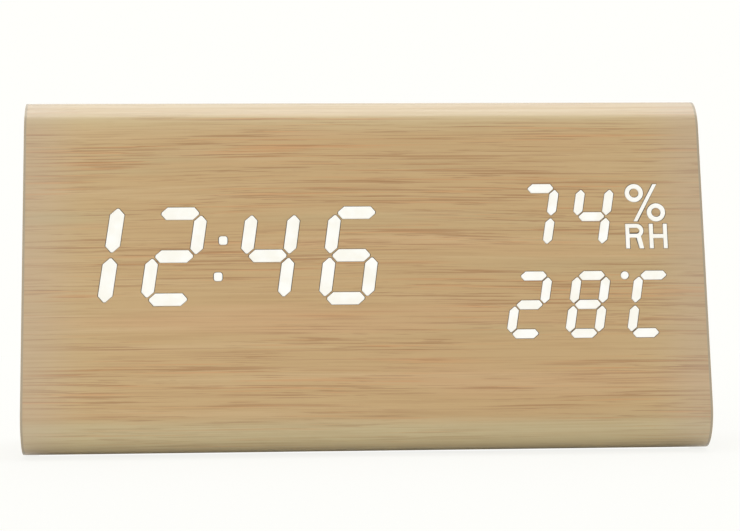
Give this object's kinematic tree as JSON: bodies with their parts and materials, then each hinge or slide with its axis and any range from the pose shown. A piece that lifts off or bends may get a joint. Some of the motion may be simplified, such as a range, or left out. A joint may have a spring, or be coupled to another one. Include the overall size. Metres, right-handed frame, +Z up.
{
  "type": "digital alarm clock",
  "caption": "Wedge-shaped wooden desk clock whose lit time, humidity and temperature figures shine through the wood film, with back buttons and a battery door.",
  "frame": {"origin": "centre of the feet on the table, under the middle of the case", "axes": "+X along the clock to the right as seen from the front, +Z up, the display faces -Y"},
  "size_m": [0.15, 0.045, 0.0775],
  "materials": {
    "wood_film": "satin",
    "fibreboard": "matte",
    "black_rubber": "matte",
    "lit_film": "glowing",
    "black_plastic": "fine texture",
    "white_plastic": "matte",
    "clear_plastic": "milky",
    "green_board": "satin",
    "plated_steel": "satin",
    "capacitor_sleeve": "satin",
    "cell_label": "satin",
    "red_wire": "satin",
    "black_wire": "satin"
  },
  "bodies": {
    "clock": {"wood_wrap": "wood_film", "front_panel": "fibreboard", "back_panel": "fibreboard", "base_panel": "fibreboard", "left_end_panel": "fibreboard", "right_end_panel": "fibreboard", "left_end_veneer": "wood_film", "right_end_veneer": "wood_film", "rubber_feet": "black_rubber", "lit_time_digits": "lit_film", "lit_humidity_digits": "lit_film", "lit_temperature_digits": "lit_film", "lit_unit_marks": "lit_film", "light_mask": "black_plastic", "display_reflector": "white_plastic", "time_light_guides": "clear_plastic", "humidity_light_guides": "clear_plastic", "temperature_light_guides": "clear_plastic", "unit_light_guides": "clear_plastic", "led_board": "green_board", "led_chips": "clear_plastic", "led_drivers": "black_plastic", "display_screws": "plated_steel", "display_ribbon": "white_plastic", "ribbon_sockets": "white_plastic", "main_board": "green_board", "board_spacers": "white_plastic", "board_screws": "plated_steel", "clock_chip": "black_plastic", "timing_crystal": "plated_steel", "board_capacitors": "capacitor_sleeve", "buzzer": "black_plastic", "climate_sensor": "white_plastic", "sound_sensor": "plated_steel", "usb_socket": "plated_steel", "usb_tongue": "black_plastic", "usb_bezel": "black_plastic", "vent_grilles": "black_plastic", "switch_bodies": "black_plastic", "button_collars": "plated_steel", "battery_tray": "black_plastic", "tray_screws": "plated_steel", "cell_cans": "plated_steel", "cell_sleeves": "cell_label", "contact_plates": "plated_steel", "contact_springs": "plated_steel", "positive_lead": "red_wire", "negative_lead": "black_wire"},
    "battery_door": {"battery_door": "black_plastic"},
    "set_button": {"set_button": "black_plastic", "set_plunger": "white_plastic"},
    "down_button": {"down_button": "black_plastic", "down_plunger": "white_plastic"},
    "up_button": {"up_button": "black_plastic", "up_plunger": "white_plastic"}
  },
  "joints": [
    {"name": "door_hinge", "type": "hinge", "parent": "clock", "child": "battery_door", "pos_m": [-0.0487, 0, 0.0018], "axis": [0, 1, 0], "range_deg": [0, 85]},
    {"name": "set_press", "type": "slide", "parent": "clock", "child": "set_button", "axis": [0, -0.9729, -0.2313], "range_m": [0, 0.0006], "stiffness_N_per_m": 800},
    {"name": "down_press", "type": "slide", "parent": "clock", "child": "down_button", "axis": [0, -0.9729, -0.2313], "range_m": [0, 0.0006], "stiffness_N_per_m": 800},
    {"name": "up_press", "type": "slide", "parent": "clock", "child": "up_button", "axis": [0, -0.9729, -0.2313], "range_m": [0, 0.0006], "stiffness_N_per_m": 800}
  ]
}
